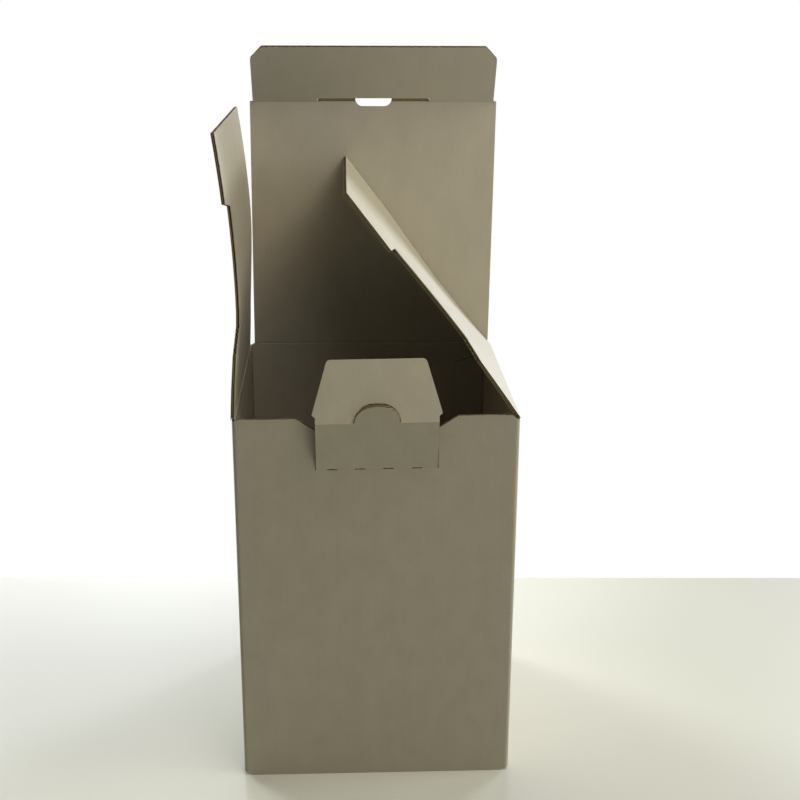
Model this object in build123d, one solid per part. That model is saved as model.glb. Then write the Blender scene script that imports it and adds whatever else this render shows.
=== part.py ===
from build123d import *
import os
from math import asin, cos, hypot, sin

# Frame: millimetres, X to the right, Y to the back, Z up.
# The origin is the middle of the underside, where the carton stands.

# Corrugated board and its clearances
board = 1.5
fit_gap = 0.5
cut_gap = 0.3
crease_groove = 0.6

# Carton walls, outside sizes
width = 120.0
depth = 121.0
side_height = 170.5
shoulder_run = 3.5
glue_flap_width = 14.5
glue_flap_drop = 4.0
glue_flap_taper = 5.0

# Closed base
base_side_gap = 1.0
base_tuck_height = 30.0
base_tuck_chamfer = 2.0
base_flap_length = 56.0

# Lid and its tuck flap
lid_side_gap = 1.0
tuck_length = 30.0
tuck_side_gap = 0.9
tuck_chamfer_run = 5.5
tuck_chamfer_rise = 6.3
tuck_fold_deg = 29.0

# Slit for the lock tab in the crease between lid and tuck flap, with its thumb notch
slit_width = 52.2
slit_rise = 2.2
slit_end_run = 1.9
thumb_notch_width = 17.4
thumb_notch_depth = 4.3
thumb_notch_radius = 3.6

# Dust flaps, hinged on the side walls
flap_end_gap = 0.2
recess_depth = 19.0
recess_start = 34.6
recess_end = 86.8
recess_hinge_run = 8.0
recess_end_run = 3.7
right_flap_fold_deg = 37.0
left_flap_fold_deg = -2.4
left_flap_bow = 3.0

# Lock tab, cut out of the front wall above a perforated line
tab_width = 51.6
tab_length = 24.2
tab_root_drop = 23.1
tab_lean_deg = 18.0
perforation_count = 4
perforation_pitch = 12.0
perforation_length = 4.6
perforation_offset = -1.1
perforation_height = 0.5

# Tip of the lock tab, above its crease
tip_length = 27.3
tip_end_width = 41.3
tip_corner_radius = 1.2
tip_fold_deg = 46.5
ear_reach = 1.4
ear_start = 2.7
ear_end = 3.9

# Half-moon tongue, cut free of the tip
tongue_width = 19.6
tongue_height = 8.4
tongue_radius = 8.2

# Notches in the front edge, one on each side of the lock tab
notch_run = 8.2
notch_depth = 5.2

# Values that follow from the sizes above
edge_height = side_height + board
tab_root_height = edge_height - tab_root_drop
lid_width = width - 2 * lid_side_gap
lid_length = depth - board - fit_gap
tuck_width = width - 2 * board - 2 * tuck_side_gap
flap_width = depth - 2 * board - 2 * fit_gap
flap_length = width - board - flap_end_gap
slit_clear = hypot(board, slit_rise) + cut_gap / 2
opening_half = tab_width / 2 + cut_gap


# Panel frame: X across, Z up from the crease, outer face at Y 0 looking to -Y,
# board on the +Y side, so a fold inwards tips the panel towards +Y.
def panel(outline_points):
    outline = Plane.XZ * make_face(Polyline(*outline_points, close=True))
    return extrude(outline, -board)


def crease_wedge(x_low, x_high, height, side):
    """Prism that mitres one side of a crease: side 1 above the crease, -1 below it."""
    section = Polyline(
        (-cut_gap, -side * cut_gap),
        (board + cut_gap, -side * cut_gap),
        (board + cut_gap, side * (board + cut_gap)),
        close=True,
    )
    prism = extrude(Plane.YZ * make_face(section), x_high - x_low)
    return Pos(x_low, 0, height) * prism


def folded(shape, fold):
    return Rot(X=-fold) * shape


def on_side(shape, side, height):
    """Place a panel on one side of the carton at a height, hinged on the outer face."""
    turn, x, y = {
        "front": (0, 0, -depth / 2),
        "right": (90, width / 2, 0),
        "back": (180, 0, depth / 2),
        "left": (-90, -width / 2, 0),
    }[side]
    return Pos(x, y, height) * Rot(Z=turn) * shape


# Lid and tuck flap
def thumb_notch():
    """Half-moon under the slit, rounded at its two lower corners."""
    centre = lid_length + slit_rise - thumb_notch_depth / 2 + board
    cutter = Pos(0, 0, centre) * Box(
        thumb_notch_width, 6 * board, thumb_notch_depth + 2 * board
    )
    lower = cutter.edges().filter_by(Axis.Y).sort_by(Axis.Z)[:2]
    return fillet(lower, thumb_notch_radius)


def lid():
    half, slit, top = lid_width / 2, slit_width / 2, lid_length + slit_rise
    right = [(half, 0), (half, lid_length), (slit, lid_length), (slit, top)]
    left = [(-x, z) for x, z in reversed(right)]
    shape = panel([*right, *left])
    shape -= crease_wedge(-half - 1, half + 1, 0, 1)
    for x_low, x_high in ((-half - 1, -slit), (slit, half + 1)):
        shape -= crease_wedge(x_low, x_high, lid_length, -1)
    return shape - thumb_notch()


def tuck_flap():
    half, slit = tuck_width / 2, slit_width / 2
    right = [
        (slit + cut_gap, slit_clear),
        (slit + slit_end_run, 0),
        (half, 0),
        (half, tuck_length - tuck_chamfer_rise),
        (half - tuck_chamfer_run, tuck_length),
    ]
    left = [(-x, z) for x, z in reversed(right)]
    return panel([*right, *left]) - crease_wedge(-half - 1, half + 1, 0, 1)


# Dust flaps
def flap_outline():
    """Outline with the recess for the lock tab in the front edge, at low X."""
    front, back = -flap_width / 2, flap_width / 2
    deep = front + recess_depth
    return [
        (front, 0),
        (back, 0),
        (back, flap_length),
        (front, flap_length),
        (front, recess_end + recess_end_run),
        (deep, recess_end),
        (deep, recess_start),
        (front, recess_start - recess_hinge_run),
    ]


def bowed_slab(bow):
    """Board that curls outwards between crease and free end, its chord upright."""
    outer = ThreePointArc((0, 0), (bow, flap_length / 2), (0, flap_length))
    radius = (flap_length**2 / 4 + bow**2) / (2 * bow)
    turn = asin(flap_length / 2 / radius)
    lift = board * sin(turn)
    step = board * cos(turn)
    inner = ThreePointArc(
        (step, -lift), (bow + board, flap_length / 2), (step, flap_length + lift)
    )
    ends = [Line((0, 0), (step, -lift)), Line((0, flap_length), (step, flap_length + lift))]
    section = make_face([outer, inner, *ends])
    return Pos(X=-flap_width / 2) * extrude(Plane.YZ * section, flap_width)


def dust_flap(bow):
    shape = panel(flap_outline())
    if bow > 0:
        outline = Plane.XZ * make_face(Polyline(*flap_outline(), close=True))
        shape = bowed_slab(bow) & extrude(outline, 4 * bow, both=True)
    return shape - crease_wedge(-flap_width, flap_width, 0, 1)


# Lock tab
def half_moon(gap):
    """Outline of the half-moon above the tab's crease, drawn in by gap."""
    half = tongue_width / 2 - gap
    top = tongue_height - gap
    radius = tongue_radius - gap
    outline = Polyline((-half, -board), (half, -board), (half, top), (-half, top), close=True)
    face = make_face(outline)
    return fillet(face.vertices().group_by(Axis.Y)[-1], radius)


def lock_tab():
    half = tab_width / 2
    shape = panel([(-half, 0), (half, 0), (half, tab_length), (-half, tab_length)])
    shape -= crease_wedge(-half - 1, half + 1, tab_length, -1)
    tongue = extrude(Plane.XZ * half_moon(cut_gap), -board)
    shape += Pos(0, 0, tab_length) * tongue
    first = perforation_offset - (perforation_count - 1) / 2 * perforation_pitch
    for index in range(perforation_count):
        slot = Box(perforation_length, 3 * board, 2 * perforation_height)
        shape -= Pos(first + index * perforation_pitch, 0, 0) * slot
    return shape


def lock_tab_tip():
    half, end = tab_width / 2, tip_end_width / 2
    right = [(half, 0), (half, ear_start), (half + ear_reach, ear_end), (end, tip_length)]
    left = [(-x, z) for x, z in reversed(right)]
    shape = panel([*right, *left])
    corners = shape.edges().filter_by(Axis.Y).group_by(Axis.Z)[-1]
    shape = fillet(corners, tip_corner_radius)
    shape -= extrude(Plane.XZ * half_moon(0), -board)
    return shape - crease_wedge(-half - 1, half + 1, 0, 1)


# Carton body: walls, glue flap and closed base, folded from one sheet
def edge_outline(half, low, high):
    """Front or back wall with sloped shoulders at its four corners."""
    run = half - shoulder_run
    return [
        (-half, low + board),
        (-run, low),
        (run, low),
        (half, low + board),
        (half, high - board),
        (run, high),
        (-run, high),
        (-half, high - board),
    ]


def walls():
    outside = Rectangle(width, depth)
    outside = fillet(outside.vertices(), board)
    inside = Rectangle(width - 2 * board, depth - 2 * board)
    tube = extrude(outside - inside, edge_height)
    corners = [
        (x * (width / 2 - board), y * (depth / 2 - board)) for x in (-1, 1) for y in (-1, 1)
    ]
    for x, y in corners:
        tube -= Pos(x, y, edge_height / 2) * Cylinder(crease_groove, edge_height)
    front_back = make_face(Polyline(*edge_outline(width / 2, 0, edge_height), close=True))
    tube &= extrude(Plane.XZ * front_back, depth, both=True)
    for x in (-1, 1):
        for end in (0, edge_height):
            tube -= Pos(x * width / 2, 0, end) * Box(2 * board, depth - 2 * board, 2 * board)
    for name in ("left", "right"):
        tube -= on_side(crease_wedge(-depth / 2 + board, depth / 2 - board, 0, -1), name, side_height)
    return tube


def tab_opening():
    """Opening for the lock tab, widened by a sloped notch at each side of the top edge."""
    half, top = opening_half, tab_root_drop
    right = [
        (half, 0),
        (half, top - notch_depth),
        (half + notch_run, top),
        (half + notch_run, top + board),
    ]
    left = [(-x, z) for x, z in reversed(right)]
    outline = make_face(Polyline(*right, *left, close=True))
    cutter = extrude(Plane.XZ * outline, 2 * board, both=True)
    return on_side(cutter, "front", tab_root_height)


def glue_flap():
    """Joint flap of the right wall, glued to the inside of the back wall."""
    inner_x, inner_y = width / 2 - board, depth / 2 - board
    top = side_height - glue_flap_drop
    outline = Polyline(
        (inner_x, 2 * board),
        (inner_x - glue_flap_width, 2 * board + glue_flap_taper),
        (inner_x - glue_flap_width, top - glue_flap_taper),
        (inner_x, top),
        close=True,
    )
    flap = extrude(Plane.XZ * make_face(outline), board)
    return Pos(0, inner_y, 0) * flap


def base():
    """Base panel folded off the back wall, tucked in behind the front wall."""
    panel_width = width - 2 * board - 2 * base_side_gap
    front = -depth / 2 + board
    back = depth / 2 - board
    section = make_face(
        Polyline(
            (front, 0),
            (back + board / 2, 0),
            (back + board / 2, board),
            (front + board, board),
            (front + board, base_tuck_height),
            (front, base_tuck_height),
            close=True,
        )
    )
    strip = extrude(Plane.YZ * section, panel_width)
    shape = Pos(X=-panel_width / 2) * strip
    upper = shape.edges().filter_by(Axis.Y).group_by(Axis.Z)[-1]
    shape = chamfer(upper, base_tuck_chamfer)
    flap_depth = depth - 4 * board
    for x in (-1, 1):
        flap = Box(base_flap_length, flap_depth, board)
        centre = x * (width / 2 - board - base_flap_length / 2 + board / 2)
        shape += Pos(centre, board / 2, 1.5 * board) * flap
    return shape


def carton_body():
    return walls() - tab_opening() + glue_flap() + base()


# Assembly, each panel folded as it stands
def tuck_place(shape):
    return on_side(Pos(0, 0, lid_length) * folded(shape, tuck_fold_deg), "back", edge_height)


def tab_place(shape):
    return on_side(folded(shape, -tab_lean_deg), "front", tab_root_height)


def tip_place(shape):
    return tab_place(Pos(0, 0, tab_length) * folded(shape, tip_fold_deg))


right_flap = on_side(folded(dust_flap(0), right_flap_fold_deg), "right", side_height)
left_panel = mirror(dust_flap(left_flap_bow), Plane.YZ)
left_flap = on_side(folded(left_panel, left_flap_fold_deg), "left", side_height)

parts = {
    "carton_body": carton_body(),
    "lid": on_side(lid(), "back", edge_height),
    "tuck_flap": tuck_place(tuck_flap()),
    "right_dust_flap": right_flap,
    "left_dust_flap": left_flap,
    "lock_tab": tab_place(lock_tab()),
    "lock_tab_tip": tip_place(lock_tab_tip()),
}

os.makedirs("parts", exist_ok=True)
for name, shape in parts.items():
    export_step(shape, f"parts/{name}.step")
    print(name, round(shape.volume, 1), [round(v, 2) for v in shape.bounding_box().size])
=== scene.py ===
import math

import bpy
import numpy as np
from mathutils import Matrix, Vector
from mathutils.geometry import delaunay_2d_cdt


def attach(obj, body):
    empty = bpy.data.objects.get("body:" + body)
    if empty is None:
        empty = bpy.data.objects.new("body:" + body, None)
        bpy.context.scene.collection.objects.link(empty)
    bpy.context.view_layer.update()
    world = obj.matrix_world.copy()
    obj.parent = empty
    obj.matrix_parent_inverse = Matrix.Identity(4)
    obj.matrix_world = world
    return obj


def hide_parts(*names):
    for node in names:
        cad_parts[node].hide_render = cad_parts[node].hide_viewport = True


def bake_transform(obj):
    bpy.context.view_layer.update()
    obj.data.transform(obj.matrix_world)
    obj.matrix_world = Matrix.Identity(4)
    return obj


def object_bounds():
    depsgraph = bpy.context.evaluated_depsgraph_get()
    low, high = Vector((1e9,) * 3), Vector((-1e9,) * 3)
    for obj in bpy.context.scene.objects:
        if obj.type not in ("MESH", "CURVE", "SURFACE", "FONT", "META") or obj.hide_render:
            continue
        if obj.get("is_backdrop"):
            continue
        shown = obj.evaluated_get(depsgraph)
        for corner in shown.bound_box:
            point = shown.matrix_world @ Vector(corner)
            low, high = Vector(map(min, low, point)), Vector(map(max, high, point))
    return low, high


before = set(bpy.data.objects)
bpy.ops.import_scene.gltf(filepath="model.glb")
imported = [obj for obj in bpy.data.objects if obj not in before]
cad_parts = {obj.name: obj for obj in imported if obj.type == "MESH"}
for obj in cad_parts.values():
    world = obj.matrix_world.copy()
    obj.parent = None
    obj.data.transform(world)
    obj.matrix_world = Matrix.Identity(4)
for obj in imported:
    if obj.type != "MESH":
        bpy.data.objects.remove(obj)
CAD_LOW, CAD_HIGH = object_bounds()

MM = 0.001
# Sizes in millimetres: the CAD's, apart from a few that follow this carton in the photo
BOARD = 1.5
LINER = 0.24
MEDIUM = 0.24
PITCH = 3.2
WIDTH, DEPTH = 120.0, 121.0
SIDE_TOP = 170.5
EDGE_TOP = SIDE_TOP + BOARD
SHOULDER = 3.5
CORNER = 1.8
LID_WIDTH, LID_LENGTH = 118.0, 119.5
TUCK_WIDTH, TUCK_LENGTH = 115.2, 30.0
TUCK_CHAMFER_RUN, TUCK_CHAMFER_RISE = 5.5, 6.3
SLIT_HALF, SLIT_RISE, SLIT_CLEAR, SLIT_RUN = 26.1, 1.7, 2.5, 1.0
THUMB_HALF, THUMB_DEPTH, THUMB_RADIUS = 8.7, 4.1, 3.6
FLAP_WIDTH = 117.0
RIGHT_LENGTH, LEFT_LENGTH = 119.9, 118.5
# Recess for the tab's tip: its start, near, far and end lines from the crease, and its depth
RIGHT_RECESS = (30.0, 37.9, 86.8, 90.5, 19.0)
LEFT_RECESS = (27.8, 35.8, 86.8, 90.5, 19.0)
# The right flap's hinge line outside the CAD's, and its twist: run, shift and swing at an edge
RIGHT_SHIFT = 0.9
TWIST_RUN, TWIST_SHIFT, TWIST_SWING = 85.0, 0.1, 1.3
# The left flap's bow, and how far its root is pushed out: in front, and more at the rear
LEFT_BOW = 3.0
ROOT_OUT, ROOT_OUT_REAR = 1.3, 1.1
ROOT_START, ROOT_START_REAR, ROOT_RUN, ROOT_RUN_REAR = 8, 10, 32, 26
TAB_HALF, TAB_LENGTH, TAB_ROOT = 25.8, 24.2, 148.9
TIP_LENGTH, TIP_END_HALF, TIP_CORNER = 27.3, 20.65, 1.2
EAR_START, EAR_END, EAR_REACH = 2.7, 3.9, 1.4
MOON_HALF, MOON_HEIGHT, MOON_RADIUS, CUT_GAP = 9.8, 8.4, 8.2, 0.3
NOTCH_HALF, NOTCH_RUN, NOTCH_DEPTH = 26.1, 8.2, 5.2
MOON_BEVEL = 0.5
CUT_COUNT, CUT_PITCH, CUTS_MIDDLE = 4, 12.0, -1.1
CUT_FOOT_HALF, CUT_TOP_HALF, CUT_HEIGHT = 2.3, 2.1, 0.5
GLUE_WIDTH, GLUE_DROP, GLUE_TAPER, GLUE_CLEAR = 14.5, 4.0, 5.0, 1.3
BASE_CLEAR, BASE_TUCK, BASE_CHAMFER = 1.0, 30.0, 2
BASE_FLAP_HALF, BASE_FLAP_LENGTH = 57.5, 55.25
# The lid drifts to the right, and the front wall's top edge rises to the right
LID_ROOT_X, LID_TOP_X = 0.3, 1.5
FRONT_SLOPE = 0.0125
RISE_START, RISE_RUN = 10, 120
# Bulge of the side walls beyond the flat middle: everywhere, more at the top, more at the rear
FLAT_MIDDLE = 35.0
RIGHT_BULGE, LEFT_BULGE = (0.3, 0.2, -1.5), (0.6, 0.15, 1.3)
# Share by which the board is thinner at an upright corner, and how far that reaches
CRUSH, CRUSH_REACH = 0.55, 1.2
LEAN = {"tuck": 29.0, "right": 37.4, "left": -2.4, "tab": -18.0, "tip": 28.5}
# Mesh: lines across a panel, samples of a flute, steps of a corner, a line beside each fold
PANEL_STEP, FLUTE_SAMPLES, CORNER_STEPS, FOLD_LINE = 12.0, 6, 6, 1.8
# How near, in millimetres, counts as on a board's edge, as the same point and as on a run
ON_EDGE, SAME_POINT, ON_RUN = 1e-4, 1e-6, 1e-9
UP = (0, 0, 1)


# Outlines
def arc(cx, cy, radius, start, end, steps=8):
    turns = [math.radians(start + (end - start) * k / steps) for k in range(steps + 1)]
    return [(cx + radius * math.cos(t), cy + radius * math.sin(t)) for t in turns]


def mirrored(right):
    """An outline's right half, followed by its left half back to the start."""
    return right + [(-x, y) for x, y in reversed(right)]


def half_moon(gap):
    """The half-moon on its flat side, drawn smaller by a gap."""
    half, top, radius = MOON_HALF - gap, MOON_HEIGHT - gap, MOON_RADIUS - gap
    return mirrored([(half, 0.0), *arc(half - radius, top - radius, radius, 0, 90)])


def inside(loops, x, y):
    """Whether a point is in an outline and in none of its holes."""
    hit = False
    for loop in loops:
        n = len(loop)
        for i in range(n):
            (x0, y0), (x1, y1) = loop[i], loop[(i + 1) % n]
            if (y0 > y) != (y1 > y) and x < (x1 - x0) * (y - y0) / (y1 - y0) + x0:
                hit = not hit
    return hit


def flat_mesh(loops, a_lines, b_lines):
    """Triangles of an outline with holes, cut along straight lines in both directions."""
    points, edges = [], []
    for loop in loops:
        start = len(points)
        points += [Vector(p) for p in loop]
        edges += [(start + i, start + (i + 1) % len(loop)) for i in range(len(loop))]
    a_low, a_high = min(p[0] for p in points), max(p[0] for p in points)
    b_low, b_high = min(p[1] for p in points), max(p[1] for p in points)
    for a in a_lines:
        if a_low < a < a_high:
            points += [Vector((a, b_low)), Vector((a, b_high))]
            edges.append((len(points) - 2, len(points) - 1))
    for b in b_lines:
        if b_low < b < b_high:
            points += [Vector((a_low, b)), Vector((a_high, b))]
            edges.append((len(points) - 2, len(points) - 1))
    verts, _, faces, *_ = delaunay_2d_cdt(points, edges, [], 0, 1e-5)
    verts = [(v.x, v.y) for v in verts]
    kept = []
    for face in faces:
        x = sum(verts[i][0] for i in face) / len(face)
        y = sum(verts[i][1] for i in face) / len(face)
        if inside(loops, x, y):
            kept.append(tuple(face))
    used = sorted({i for face in kept for i in face})
    index = {old: new for new, old in enumerate(used)}
    kept = [tuple(index[i] for i in face) for face in kept]
    return [verts[i] for i in used], kept


class Sheet:
    """Collects the layers of one piece of board and turns them into one mesh."""

    def __init__(self):
        self.points, self.board, self.faces, self.slots = [], [], [], []

    def layer(self, flat, low, high, place, slots):
        """One layer between two depths; slots are the materials of low face, high face and rim."""
        verts, faces = flat
        base, count = len(self.points), len(verts)
        for depth in (low, high):
            for a, b in verts:
                t = depth(a, b)
                self.points.append(place(a, b, t))
                self.board.append((a, b, t))
        rim = {}
        for face in faces:
            self.faces.append([base + i for i in face])
            self.faces.append([base + count + i for i in reversed(face)])
            self.slots += [slots[0], slots[1]]
            for i in range(len(face)):
                edge = (face[i], face[(i + 1) % len(face)])
                if (edge[1], edge[0]) in rim:
                    del rim[(edge[1], edge[0])]
                else:
                    rim[edge] = True
        for i, j in rim:
            self.faces.append([base + j, base + i, base + count + i, base + count + j])
            self.slots.append(slots[2])

    def mesh(self, name, materials):
        mesh = bpy.data.meshes.new(name)
        mesh.from_pydata([tuple(c * MM for c in p) for p in self.points], [], self.faces)
        mesh.polygons.foreach_set("material_index", self.slots)
        for material in materials:
            mesh.materials.append(material)
        board = mesh.attributes.new("board", "FLOAT_VECTOR", "POINT")
        board.data.foreach_set("vector", np.array(self.board, np.float32).ravel())
        mesh.validate()
        obj = bpy.data.objects.new(name, mesh)
        bpy.context.scene.collection.objects.link(obj)
        return obj


def spaced(low, high, step):
    count = max(1, math.ceil((high - low) / step))
    return [low + (high - low) * k / count for k in range(1, count)]


def corrugated(sheet, loops, place, b_step=30.0, extra_a=(), extra_b=(), inner=None):
    """Two liners with a fluted medium between them, the flutes running along b.

    The medium and the inner liner may have an outline of their own.
    """
    a_low, a_high = min(p[0] for p in loops[0]), max(p[0] for p in loops[0])
    b_low, b_high = min(p[1] for p in loops[0]), max(p[1] for p in loops[0])
    b_lines = spaced(b_low, b_high, b_step) + list(extra_b)
    skin = flat_mesh(loops, spaced(a_low, a_high, PANEL_STEP) + list(extra_a), b_lines)
    hidden = 1 if inner else 2
    sheet.layer(skin, lambda a, b: 0.0, lambda a, b: LINER, place, (0, hidden, 1))
    if inner:
        skin = flat_mesh(inner, spaced(a_low, a_high, PANEL_STEP) + list(extra_a), b_lines)
    sheet.layer(skin, lambda a, b: BOARD - LINER, lambda a, b: BOARD, place, (hidden, 3, 1))
    swing = (BOARD - 2 * LINER - MEDIUM) / 2

    def wave(a, b):
        return BOARD / 2 + swing * math.cos(2 * math.pi * a / PITCH)

    first = math.ceil(a_low * FLUTE_SAMPLES / PITCH)
    last = int(a_high * FLUTE_SAMPLES / PITCH)
    samples = [PITCH / FLUTE_SAMPLES * k for k in range(first, last + 1)]
    core = flat_mesh(inner or loops, samples + list(extra_a), b_lines)
    sheet.layer(
        core,
        lambda a, b: wave(a, b) - MEDIUM / 2,
        lambda a, b: wave(a, b) + MEDIUM / 2,
        place,
        (hidden, hidden, 1),
    )


# Materials
def node_tree(name):
    material = bpy.data.materials.new(name)
    material.use_nodes = True
    tree = material.node_tree
    return material, tree.nodes, tree.links, tree.nodes["Principled BSDF"]


def board_material(name, light, dark, rough, flutes):
    """Paper over flutes: long fibres, soft blotches and a faint washboard."""
    material, nodes, links, shader = node_tree(name)
    place = nodes.new("ShaderNodeAttribute")
    place.attribute_name = "board"

    def noise(scale, stretch, detail):
        mapping = nodes.new("ShaderNodeMapping")
        mapping.inputs["Scale"].default_value = stretch
        links.new(place.outputs["Vector"], mapping.inputs["Vector"])
        texture = nodes.new("ShaderNodeTexNoise")
        texture.inputs["Scale"].default_value = scale
        texture.inputs["Detail"].default_value = detail
        links.new(mapping.outputs["Vector"], texture.inputs["Vector"])
        return texture.outputs["Fac"]

    def maths(kind, a, b):
        node = nodes.new("ShaderNodeMath")
        node.operation = kind
        for socket, value in zip(node.inputs, (a, b)):
            if isinstance(value, (int, float)):
                socket.default_value = value
            else:
                links.new(value, socket)
        return node.outputs[0]

    fibres = noise(2.6, (1.0, 0.45, 1.0), 5.0)
    blotches = noise(0.12, (1.0, 0.6, 1.0), 3.0)
    split = nodes.new("ShaderNodeSeparateXYZ")
    links.new(place.outputs["Vector"], split.inputs[0])
    turn = maths("MULTIPLY", split.outputs[0], 2 * math.pi / PITCH)
    wave = maths("SINE", turn, 0.0)
    shade = maths("ADD", maths("MULTIPLY", fibres, 0.55), maths("MULTIPLY", blotches, 0.45))
    shade = maths("ADD", shade, maths("MULTIPLY", wave, flutes))
    ramp = nodes.new("ShaderNodeValToRGB")
    ramp.color_ramp.elements[0].position = 0.32
    ramp.color_ramp.elements[0].color = (*dark, 1)
    ramp.color_ramp.elements[1].position = 0.68
    ramp.color_ramp.elements[1].color = (*light, 1)
    links.new(shade, ramp.inputs[0])
    links.new(ramp.outputs[0], shader.inputs["Base Color"])
    height = maths("ADD", maths("MULTIPLY", fibres, 0.4), maths("MULTIPLY", wave, flutes * 4))
    bump = nodes.new("ShaderNodeBump")
    bump.inputs["Strength"].default_value = 0.25
    bump.inputs["Distance"].default_value = 0.0001
    links.new(height, bump.inputs["Height"])
    links.new(bump.outputs[0], shader.inputs["Normal"])
    shader.inputs["Roughness"].default_value = rough
    shader.inputs["Specular IOR Level"].default_value = 0.5
    return material


def rgb(red, green, blue):
    """Linear colour from values on the 0 to 255 display scale."""
    return tuple(
        c / 12.92 if c <= 0.04045 else ((c + 0.055) / 1.055) ** 2.4
        for c in (red / 255, green / 255, blue / 255)
    )


PAPER = board_material("paper", rgb(173, 164, 140), rgb(162, 153, 129), 0.6, 0.012)
CUT = board_material("cut_edge", rgb(162, 142, 100), rgb(134, 115, 78), 0.9, 0.0)
# Flute sides and hidden faces between the layers: brown medium, painted darker to stand in for the
# shade inside the flutes
SHADED_CORE = board_material("flute_side_painted_shade", rgb(60, 48, 33), rgb(45, 36, 24), 0.95, 0.0)
# Inner faces: the same paper painted lighter, as painted light standing in for the extra light on
# the lid's inner face
LIT_INSIDE = board_material("inner_paper_painted_light", rgb(183, 174, 154), rgb(172, 163, 143), 0.6, 0.012)
BOARD_MATERIALS = [PAPER, CUT, SHADED_CORE, LIT_INSIDE]


# Places: functions from (across, along, depth) on a board to the frame
def flat_place(origin, across, along, inward, mitre=None, rise=0.0):
    o, a_dir, b_dir, n_dir = (np.array(v, float) for v in (origin, across, along, inward))
    a_dir = a_dir + rise * np.array(UP, float)

    def place(a, b, t):
        if mitre:
            b = mitre(a, b, t)
        return tuple(o + a * a_dir + b * b_dir + t * n_dir)

    return place


def mitre_ends(low=None, high=None, keep=None):
    """Slopes a board's ends towards its inner face at 45 degrees, so that a fold can close."""

    def mitre(a, b, t):
        if keep and keep(a, b):
            return b
        if low is not None and abs(b - low) < ON_EDGE:
            return b + t
        if high is not None and abs(b - high) < ON_EDGE:
            return b - t
        return b

    return mitre


def leaning(lean, outward):
    """Along and inward directions of a panel that leans inwards by an angle from upright."""
    t = math.radians(lean)
    inward = (-outward[0], -outward[1])
    along = (inward[0] * math.sin(t), inward[1] * math.sin(t), math.cos(t))
    normal = (inward[0] * math.cos(t), inward[1] * math.cos(t), -math.sin(t))
    return along, normal


def panel(name, loops, place, node, **more):
    sheet = Sheet()
    corrugated(sheet, loops, place, **more)
    obj = sheet.mesh(name, BOARD_MATERIALS)
    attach(obj, node)
    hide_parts(node)


# Carton walls: one board bent round the four corners
def wall_path():
    """Straight runs of the outer face from the rear right corner, with room for the corner arcs.

    Each has its start and end on the way round, both end points and the inward direction.
    """
    w, d, r = WIDTH / 2, DEPTH / 2, CORNER
    runs = [
        ((w - r, d), (-w + r, d), (0, -1)),
        ((-w, d - r), (-w, -d + r), (1, 0)),
        ((-w + r, -d), (w - r, -d), (0, 1)),
        ((w, -d + r), (w, d - r), (-1, 0)),
    ]
    pieces, start = [], 0.0
    for p, q, inward in runs:
        length = math.dist(p, q)
        pieces.append((start, start + length, p, q, inward))
        start += length + math.pi / 2 * r
    return pieces


RUNS = wall_path()


def wall_place(a, b, t):
    """Point of a true wall: a goes round the carton, b up and t inwards."""
    for k, (low, high, p, q, inward) in enumerate(RUNS):
        if a <= high + ON_RUN or k == len(RUNS) - 1 and a <= high + SAME_POINT:
            if a >= low - ON_RUN:
                share = (a - low) / (high - low)
                x = p[0] + (q[0] - p[0]) * share + inward[0] * t
                y = p[1] + (q[1] - p[1]) * share + inward[1] * t
                return (x, y, b)
            break
    # On a corner arc before run k, or after the last one
    before = RUNS[k - 1] if a < RUNS[k][0] else RUNS[k]
    after = RUNS[k] if a < RUNS[k][0] else RUNS[0]
    turn = (a - before[1]) / CORNER
    out0, out1 = (-before[4][0], -before[4][1]), (-after[4][0], -after[4][1])
    centre = (before[3][0] - out0[0] * CORNER, before[3][1] - out0[1] * CORNER)
    radius = CORNER - t
    return (
        centre[0] + radius * (out0[0] * math.cos(turn) + out1[0] * math.sin(turn)),
        centre[1] + radius * (out0[1] * math.cos(turn) + out1[1] * math.sin(turn)),
        b,
    )


def wall_outline():
    """Top edge of the walls along the way round, and the lower edge back."""
    back, left, front, right = RUNS
    walls = ((back, "back"), (left, "side"), (front, "front"), (right, "side"))
    corner = math.pi / 4 * CORNER
    run = SHOULDER - CORNER
    top = []
    for wall, kind in walls:
        low, high = wall[0] - corner, wall[1] + corner
        if kind == "side":
            top += [(low, SIDE_TOP), (high, SIDE_TOP)]
            continue
        top += [(low, SIDE_TOP), (wall[0] + run, EDGE_TOP)]
        if kind == "front":
            middle = (wall[0] + wall[1]) / 2
            dip = [
                (-NOTCH_HALF - NOTCH_RUN, EDGE_TOP),
                (-NOTCH_HALF, EDGE_TOP - NOTCH_DEPTH),
                (-NOTCH_HALF, TAB_ROOT),
            ]
            dip += [(-x, z) for x, z in reversed(dip)]
            top += [(middle + x, z) for x, z in dip]
        top += [(wall[1] - run, EDGE_TOP), (high, SIDE_TOP)]
    bottom = []
    for wall, kind in walls:
        low, high = wall[0] - corner, wall[1] + corner
        if kind == "side":
            bottom += [(low, BOARD), (high, BOARD)]
        else:
            bottom += [(low, BOARD), (wall[0] + run, 0.0), (wall[1] - run, 0.0), (high, BOARD)]
    loop = top + bottom[::-1]
    clean = []
    for p in loop:
        if not clean or math.dist(p, clean[-1]) > SAME_POINT:
            clean.append(p)
    return clean


def spread(x, y, z):
    """Sideways shift: the left wall bulges most at the rear, where the right one is drawn in."""
    share = min(1.0, max(0.0, (abs(x) - FLAT_MIDDLE) / (WIDTH / 2 - FLAT_MIDDLE)))
    always, top, rear = RIGHT_BULGE if x > 0 else LEFT_BULGE
    out = share * (always + top * z / EDGE_TOP + rear * (y + DEPTH / 2) / DEPTH)
    return out if x > 0 else -out


def front_rise(x, z):
    """The front wall stands a little askew: its upper edge rises to the right."""
    fade = min(1.0, max(0.0, (WIDTH / 2 - BOARD - abs(x)) / SHOULDER))
    return FRONT_SLOPE * x * fade * min(1.0, max(0.0, (z - RISE_START) / RISE_RUN))


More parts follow.
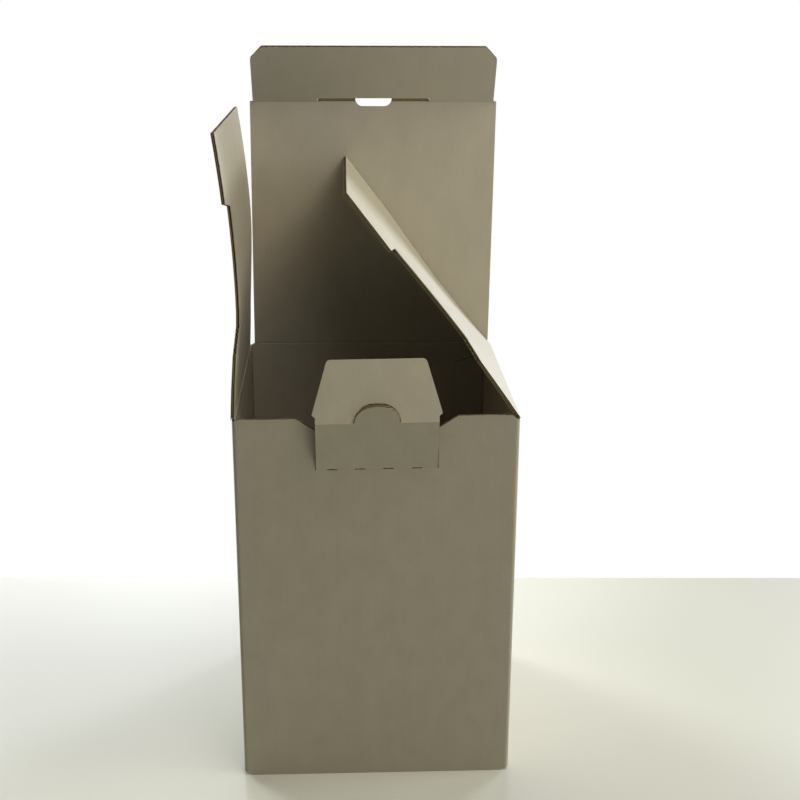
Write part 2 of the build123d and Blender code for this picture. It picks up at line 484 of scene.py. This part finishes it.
def wall_mitre(a, b, t):
    """Point of this carton's walls: mitred at the top, crushed at the corners and bulged."""
    back, left, front, right = RUNS
    for low, high, *_ in RUNS:
        for bend in (low - math.pi / 4 * CORNER, high + math.pi / 4 * CORNER):
            t *= 1 - CRUSH * max(0.0, 1 - abs(a - bend) / CRUSH_REACH)
    on_side = left[0] < a < left[1] or right[0] < a < right[1]
    if abs(b - SIDE_TOP) < ON_EDGE and on_side:
        b -= t
    if abs(b - EDGE_TOP) < ON_EDGE and back[0] + SHOULDER < a < back[1] - SHOULDER:
        b -= t
    x, y, z = wall_place(a, b, t)
    if front[0] < a < front[1]:
        z += front_rise(x, z)
    return (x + spread(x, y, z), y, z)


corner_lines = []
for low, high, *_ in RUNS:
    for k in range(CORNER_STEPS + 1):
        step = math.pi / 2 * CORNER * k / CORNER_STEPS
        corner_lines += [low - step, high + step]
corner_lines = sorted({round(v, 6) for v in corner_lines})
near_top = (SIDE_TOP - 2.5, SIDE_TOP - 1.2, EDGE_TOP - 2.6)
body = Sheet()
corrugated(
    body, [wall_outline()], wall_mitre, b_step=40.0, extra_a=corner_lines, extra_b=near_top
)

# Glue flap of the right wall, inside the back wall
glue_top = SIDE_TOP - GLUE_DROP
glue_loop = [
    (0.0, 2 * BOARD),
    (GLUE_WIDTH, 2 * BOARD + GLUE_TAPER),
    (GLUE_WIDTH, glue_top - GLUE_TAPER),
    (0.0, glue_top),
]
inner_x, inner_y = WIDTH / 2 - BOARD, DEPTH / 2 - BOARD
glue_at = (inner_x - GLUE_CLEAR, inner_y, 0)
corrugated(body, [glue_loop], flat_place(glue_at, (-1, 0, 0), UP, (0, -1, 0)))

# Base: panel off the back wall with its tuck behind the front wall, and two inner flaps
base_half = inner_x - BASE_CLEAR
base_loop = [
    (-base_half, -inner_y),
    (base_half, -inner_y),
    (base_half, inner_y),
    (-base_half, inner_y),
]
corrugated(body, [base_loop], flat_place((0, 0, 0), (1, 0, 0), (0, 1, 0), UP))
tuck_loop = [
    (-base_half, BOARD),
    (base_half, BOARD),
    (base_half, BASE_TUCK - BASE_CHAMFER),
    (base_half - BASE_CHAMFER, BASE_TUCK),
    (-base_half + BASE_CHAMFER, BASE_TUCK),
    (-base_half, BASE_TUCK - BASE_CHAMFER),
]
corrugated(body, [tuck_loop], flat_place((0, -inner_y, 0), (1, 0, 0), UP, (0, 1, 0)))
flap_loop = [
    (-BASE_FLAP_HALF, 0.0),
    (BASE_FLAP_HALF, 0.0),
    (BASE_FLAP_HALF, BASE_FLAP_LENGTH),
    (-BASE_FLAP_HALF, BASE_FLAP_LENGTH),
]
for side in (-1, 1):
    flap_at = (side * inner_x, BOARD / 2, BOARD)
    corrugated(body, [flap_loop], flat_place(flap_at, (0, 1, 0), (-side, 0, 0), UP))
carton = body.mesh("carton_body_board", BOARD_MATERIALS)
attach(carton, "carton_body")
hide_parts("carton_body")

# Lid, hinged at the top of the back wall
thumb_middle = LID_LENGTH + SLIT_RISE - THUMB_DEPTH + THUMB_RADIUS
thumb = arc(THUMB_HALF - THUMB_RADIUS, thumb_middle, THUMB_RADIUS, 0, -90)
slit_end = SLIT_HALF + SLIT_RUN
half_lid, half_tuck, half_flap = LID_WIDTH / 2, TUCK_WIDTH / 2, FLAP_WIDTH / 2
# Points close together in pairs let the mitre start and end within a short step
lid_side = [
    (half_lid, 0.0),
    (half_lid, LID_LENGTH),
    (half_tuck + 0.25, LID_LENGTH),
    (half_tuck + 0.15, LID_LENGTH),
    (slit_end + 0.1, LID_LENGTH),
    (slit_end - 0.1, LID_LENGTH),
]
slit_top = [(SLIT_HALF, LID_LENGTH + SLIT_RISE), (THUMB_HALF, LID_LENGTH + SLIT_RISE)]
lid_outer = mirrored(lid_side + slit_top + thumb)
lid_inner = mirrored([*lid_side, (THUMB_HALF, LID_LENGTH), *thumb])


def lid_square(a, b):
    """The far edge is only mitred where the tuck flap is hinged to it."""
    return b > LID_LENGTH / 2 and not slit_end < abs(a) < half_tuck + 0.2


lid_place = flat_place(
    origin=(LID_ROOT_X, DEPTH / 2, EDGE_TOP),
    across=(1, 0, 0),
    along=((LID_TOP_X - LID_ROOT_X) / LID_LENGTH, 0, 1),
    inward=(0, -1, 0),
    mitre=mitre_ends(0.0, LID_LENGTH, lid_square),
)
panel(
    "lid_board",
    [lid_outer],
    lid_place,
    "lid",
    extra_b=(FOLD_LINE, LID_LENGTH - FOLD_LINE),
    inner=[lid_inner],
)

# Tuck flap at the end of the lid; short steps round both ends of its cut corners
cut_foot, cut_end = TUCK_LENGTH - TUCK_CHAMFER_RISE, half_tuck - TUCK_CHAMFER_RUN
tuck_right = [
    (SLIT_HALF + CUT_GAP, SLIT_CLEAR),
    (slit_end, 0.0),
    (half_tuck, 0.0),
    (half_tuck, cut_foot - 0.5),
    (half_tuck - 0.35, cut_foot + 0.4),
    (cut_end + 0.4, TUCK_LENGTH - 0.46),
    (cut_end - 0.5, TUCK_LENGTH),
]
tuck_along, tuck_in = leaning(LEAN["tuck"], (0, 1))
tuck_origin = (LID_TOP_X, DEPTH / 2, EDGE_TOP + LID_LENGTH)
tuck_place = flat_place(tuck_origin, (1, 0, 0), tuck_along, tuck_in, mitre_ends(0.0))
panel(
    "tuck_flap_board", [mirrored(tuck_right)], tuck_place, "tuck_flap", extra_b=(FOLD_LINE,)
)


# Dust flaps
def dust_outline(length, recess):
    """a runs from front to back, b from the crease to the free end."""
    front, back = -half_flap, half_flap
    start, near, far, end, deep = recess
    inner = front + deep
    return [
        (front, 0.0),
        (back, 0.0),
        (back, length),
        (front, length),
        (front, end),
        (inner, far),
        (inner, near),
        (front, start),
    ]


right_x = WIDTH / 2 + RIGHT_SHIFT
right_along, right_in = leaning(LEAN["right"], (1, 0))
right_flat = flat_place(
    (right_x, 0, SIDE_TOP), (0, 1, 0), right_along, right_in, mitre_ends(0.0)
)


def right_place(a, b, t):
    """Flap twisted near its crease: the front edge bulges outwards, the rear one inwards."""
    bulge = math.sin(math.pi * min(b, TWIST_RUN) / TWIST_RUN)
    return right_flat(a, b, t - (TWIST_SHIFT - TWIST_SWING * a / half_flap) * bulge)


panel(
    "right_dust_flap_board",
    [dust_outline(RIGHT_LENGTH, RIGHT_RECESS)],
    right_place,
    "right_dust_flap",
    b_step=7.0,
    extra_b=(FOLD_LINE,),
)

left_along, left_in = leaning(LEAN["left"], (-1, 0))
left_radius = (LEFT_LENGTH**2 / 4 + LEFT_BOW**2) / (2 * LEFT_BOW)


def left_place(a, b, t):
    """Curled flap: an arc over its chord, bulging inwards, its root pushed out."""
    if abs(b) < ON_EDGE:
        b = t
    back = (a + half_flap) / FLAP_WIDTH
    beyond = (b - ROOT_START - ROOT_START_REAR * back) / (ROOT_RUN + ROOT_RUN_REAR * back)
    share = min(1.0, max(0.0, beyond))
    out = (ROOT_OUT + ROOT_OUT_REAR * back) * (1 - share * share * (3 - 2 * share))
    half = math.asin(LEFT_LENGTH / 2 / left_radius)
    turn = half * (2 * b / LEFT_LENGTH - 1)
    along = LEFT_LENGTH / 2 + (left_radius + t) * math.sin(turn)
    depth = (left_radius + t) * math.cos(turn) - left_radius + LEFT_BOW
    o = np.array((-WIDTH / 2 - out, a, SIDE_TOP), float)
    return tuple(o + along * np.array(left_along) + depth * np.array(left_in))


panel(
    "left_dust_flap_board",
    [dust_outline(LEFT_LENGTH, LEFT_RECESS)],
    left_place,
    "left_dust_flap",
    b_step=7.0,
    extra_b=(FOLD_LINE,),
)

# Lock tab with its half-moon tongue, and the tip with the matching hole
tab_along, tab_in = leaning(LEAN["tab"], (0, -1))
cuts = []
for k in range(CUT_COUNT):
    x = CUTS_MIDDLE + (k - (CUT_COUNT - 1) / 2) * CUT_PITCH
    cuts += [
        (x - CUT_FOOT_HALF, 0.0),
        (x - CUT_TOP_HALF, CUT_HEIGHT),
        (x + CUT_TOP_HALF, CUT_HEIGHT),
        (x + CUT_FOOT_HALF, 0.0),
    ]
tongue = [(x, TAB_LENGTH + y) for x, y in half_moon(CUT_GAP)]
upper = [(TAB_HALF, 0.0), (TAB_HALF, TAB_LENGTH), *tongue, (-TAB_HALF, TAB_LENGTH)]
tab_loop = [(-TAB_HALF, 0.0), *cuts, *upper]
tab_inner = [(-TAB_HALF, 0.0), *upper]
tab_place = flat_place(
    (0, -DEPTH / 2, TAB_ROOT),
    (1, 0, 0),
    tab_along,
    tab_in,
    mitre_ends(None, TAB_LENGTH, lambda a, b: abs(a) < MOON_HALF),
    rise=FRONT_SLOPE,
)
panel(
    "lock_tab_board",
    [tab_loop],
    tab_place,
    "lock_tab",
    extra_b=(TAB_LENGTH - FOLD_LINE,),
    inner=[tab_inner],
)

# Half of the tip from the half-moon's foot: side, ear, tapering edge and rounded corner
tip_along, tip_in = leaning(LEAN["tip"], (0, -1))
tip_right = [
    (MOON_HALF, 0.0),
    (TAB_HALF, 0.0),
    (TAB_HALF, EAR_START),
    (TAB_HALF + EAR_REACH, EAR_END),
    (TIP_END_HALF + 0.5, TIP_LENGTH - TIP_CORNER),
    (TIP_END_HALF - TIP_CORNER * 0.2, TIP_LENGTH - TIP_CORNER * 0.25),
    (TIP_END_HALF - TIP_CORNER, TIP_LENGTH),
]
tip_loop = mirrored(tip_right)[::-1] + half_moon(0.0)[1:-1]
tip_inner = mirrored([(MOON_HALF - MOON_BEVEL, 0.0), *tip_right[1:]])[::-1]
tip_inner += half_moon(MOON_BEVEL)[1:-1]
tip_origin = tab_place(0.0, TAB_LENGTH, 0.0)
tip_place = flat_place(
    tip_origin, (1, 0, 0), tip_along, tip_in, mitre_ends(0.0), rise=FRONT_SLOPE
)
panel(
    "lock_tab_tip_board",
    [tip_loop],
    tip_place,
    "lock_tab_tip",
    extra_b=(FOLD_LINE,),
    inner=[tip_inner],
)


# Crushed creases: the inner liner bends across each fold
STRIP_REACH, STRIP_PROUD = BOARD + 0.35, BOARD + 0.015
STRIP_LINES = (0.15, 0.3, 0.5, 0.8)
LEFT_CREASE_OUT, LEFT_CREASE_SKEW, LEFT_CREASE_FOLD = 1.85, -0.0094, 2.0


def crease(name, origin, across, wall_along, wall_in, fold, spans, dent, width=0.3):
    """Inner liner from one board to the next; fold is the angle already folded inwards.

    dent is how deep the middle is pressed outwards, and width how far that spreads.
    """
    o, a_dir = np.array(origin, float), np.array(across, float)
    up, into = np.array(wall_along, float), np.array(wall_in, float)
    turn = math.radians(fold)

    def at(a, s, t):
        meet = t * math.tan(turn / 2)
        along = meet + abs(s) * (STRIP_REACH - meet) / STRIP_REACH
        t = t - dent * math.exp(-((s / width) ** 2))
        if s > 0:
            b_dir = up * math.cos(turn) + into * math.sin(turn)
            n_dir = into * math.cos(turn) - up * math.sin(turn)
            return tuple(o + a * a_dir + along * b_dir + t * n_dir)
        return tuple(o + a * a_dir - along * up + t * into)

    sheet = Sheet()
    lines = [-s for s in STRIP_LINES] + [0.0, *STRIP_LINES]
    for low, high in spans:
        loop = [
            (low, -STRIP_REACH),
            (high, -STRIP_REACH),
            (high, STRIP_REACH),
            (low, STRIP_REACH),
        ]
        flat = flat_mesh([loop], [], lines)
        sheet.layer(
            flat, lambda a, b: STRIP_PROUD - LINER, lambda a, b: STRIP_PROUD, at, (2, 3, 3)
        )
    obj = sheet.mesh(name, BOARD_MATERIALS)
    start, end = at(0.0, -BOARD, BOARD), at(0.0, BOARD, BOARD)
    [c * MM for c in start]
    [c * MM for c in end]
    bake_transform(obj)


crease(
    "lid_crease",
    origin=(0, DEPTH / 2, EDGE_TOP),
    across=(1, 0, 0),
    wall_along=UP,
    wall_in=(0, -1, 0),
    fold=0.0,
    spans=[(-half_lid + 0.3, half_lid - 0.3)],
    dent=0.3,
)
crease(
    "tuck_crease",
    origin=tuck_origin,
    across=(1, 0, 0),
    wall_along=UP,
    wall_in=(0, -1, 0),
    fold=LEAN["tuck"],
    spans=[(-half_tuck, -slit_end), (slit_end, half_tuck)],
    dent=0.0,
)
crease(
    "right_flap_crease",
    origin=(right_x, 0, SIDE_TOP),
    across=(0, 1, 0),
    wall_along=UP,
    wall_in=(-1, 0, 0),
    fold=LEAN["right"],
    spans=[(-half_flap, half_flap)],
    dent=0.0,
)
crease(
    "left_flap_crease",
    origin=(-WIDTH / 2 - LEFT_CREASE_OUT, 0, SIDE_TOP),
    across=(LEFT_CREASE_SKEW, 1, 0),
    wall_along=UP,
    wall_in=(1, 0, 0),
    fold=LEFT_CREASE_FOLD,
    spans=[(-half_flap, half_flap)],
    dent=-0.5,
    width=0.45,
)
crease(
    "tip_crease",
    origin=tip_origin,
    across=(1, 0, 0),
    wall_along=tab_along,
    wall_in=tab_in,
    fold=LEAN["tip"] - LEAN["tab"],
    spans=[(-TAB_HALF, -MOON_HALF), (MOON_HALF, TAB_HALF)],
    dent=0.0,
)


# Floor, backdrop and light
def floor():
    """Table top whose far edge shows behind the carton."""
    mesh = bpy.data.meshes.new("table_top")
    near, left, right = -1.2, -1.6, 1.6
    far_left, far_right = 0.1966, 0.0910
    corners = [(left, near, 0), (right, near, 0), (right, far_right, 0), (left, far_left, 0)]
    mesh.from_pydata(corners, [], [(0, 1, 2, 3)])
    obj = bpy.data.objects.new("table_top", mesh)
    bpy.context.scene.collection.objects.link(obj)
    material, nodes, links, shader = node_tree("table")
    coords = nodes.new("ShaderNodeTexCoord")
    noise = nodes.new("ShaderNodeTexNoise")
    noise.inputs["Scale"].default_value = 6.0
    links.new(coords.outputs["Object"], noise.inputs["Vector"])
    ramp = nodes.new("ShaderNodeValToRGB")
    ramp.color_ramp.elements[0].color = (*rgb(216, 214, 200), 1)
    ramp.color_ramp.elements[1].color = (*rgb(223, 221, 207), 1)
    links.new(noise.outputs["Fac"], ramp.inputs[0])
    links.new(ramp.outputs[0], shader.inputs["Base Color"])
    shader.inputs["Roughness"].default_value = 0.35
    mesh.materials.append(material)
    obj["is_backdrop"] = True


floor()

LIGHT_TARGET = (0, 0, 0.15)


def area_light(name, azimuth, elevation, distance, size, power, colour):
    """Round soft light aimed at the carton; azimuth 0 is in front of it and 90 to its right."""
    turn, rise = math.radians(azimuth), math.radians(elevation)
    away = Vector(
        (math.sin(turn) * math.cos(rise), -math.cos(turn) * math.cos(rise), math.sin(rise))
    )
    light = bpy.data.lights.new(name, "AREA")
    light.shape = "DISK"
    light.size = size
    light.energy = power
    light.color = colour
    obj = bpy.data.objects.new(name, light)
    obj.location = Vector(LIGHT_TARGET) + away * distance
    obj.rotation_mode = "QUATERNION"
    obj.rotation_quaternion = (-away).to_track_quat("-Z", "Y")
    obj.visible_camera = False
    bpy.context.scene.collection.objects.link(obj)


area_light("right_low", 90, 5, 2.0, 0.6, 13.8, (0.85, 0.93, 1.0))
area_light("right_back", 135, 8, 2.0, 0.8, 32.0, (0.84, 0.88, 1.0))
area_light("back", 180, 12, 2.0, 1.2, 11.1, (0.96, 0.96, 1.0))
area_light("back_wide", 200, 10, 2.0, 1.2, 15.9, (0.99, 0.99, 1.0))
area_light("left_back", 225, 8, 2.0, 0.8, 45.5, (0.93, 1.0, 1.0))
area_light("front_high", 30, 50, 0.9, 0.6, 2.1, (1.0, 0.9, 0.8))
area_light("front_right", 40, 15, 2.0, 1.2, 6.0, (0.83, 0.89, 0.97))
area_light("above_right", 71.6, 60.1, 0.634, 0.25, 1.6, (1.0, 0.98, 0.83))

# White behind the table for the camera, and a dim blue light for everything else
world = bpy.data.worlds.new("studio")
world.use_nodes = True
bpy.context.scene.world = world
nodes, links = world.node_tree.nodes, world.node_tree.links
nodes.clear()
output = nodes.new("ShaderNodeOutputWorld")
seen = nodes.new("ShaderNodeBackground")
seen.inputs["Color"].default_value = (1, 1, 1, 1)
seen.inputs["Strength"].default_value = 1.0
lit = nodes.new("ShaderNodeBackground")
lit.inputs["Color"].default_value = (0.5, 0.75, 1.0, 1)
lit.inputs["Strength"].default_value = 0.06
path = nodes.new("ShaderNodeLightPath")
mix = nodes.new("ShaderNodeMixShader")
links.new(path.outputs["Is Camera Ray"], mix.inputs[0])
links.new(lit.outputs[0], mix.inputs[1])
links.new(seen.outputs[0], mix.inputs[2])
links.new(mix.outputs[0], output.inputs["Surface"])

# Camera, fitted to corners of the carton in the photo; the focal length is in its pixels
IMAGE_WIDTH, SENSOR = 800, 36.0
CAMERA_AT = (-12.969, -571.297, 343.788)
YAW, PITCH_DOWN, ROLL, FOCAL = 0.0441687, 0.3107031, 0.0048462, 1287.38
level = math.cos(PITCH_DOWN)
fwd = Vector((math.sin(YAW) * level, math.cos(YAW) * level, -math.sin(PITCH_DOWN)))
right = Vector((math.cos(YAW), -math.sin(YAW), 0))
upward = right.cross(fwd)
right, upward = (
    math.cos(ROLL) * right + math.sin(ROLL) * upward,
    -math.sin(ROLL) * right + math.cos(ROLL) * upward,
)
camera_data = bpy.data.cameras.new("camera")
camera_data.sensor_width = SENSOR
camera_data.lens = SENSOR * FOCAL / IMAGE_WIDTH
camera_data.clip_start, camera_data.clip_end = 0.05, 20
camera = bpy.data.objects.new("camera", camera_data)
bpy.context.scene.collection.objects.link(camera)
camera.matrix_world = Matrix.Translation(Vector(CAMERA_AT) * MM) @ Matrix(
    (
        (right.x, upward.x, -fwd.x, 0),
        (right.y, upward.y, -fwd.y, 0),
        (right.z, upward.z, -fwd.z, 0),
        (0, 0, 0, 1),
    )
)
bpy.context.scene.camera = camera
bpy.context.scene.view_settings.view_transform = "Standard"

low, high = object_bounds()
{"cad": [list(CAD_LOW), list(CAD_HIGH)], "shown": [list(low), list(high)]}
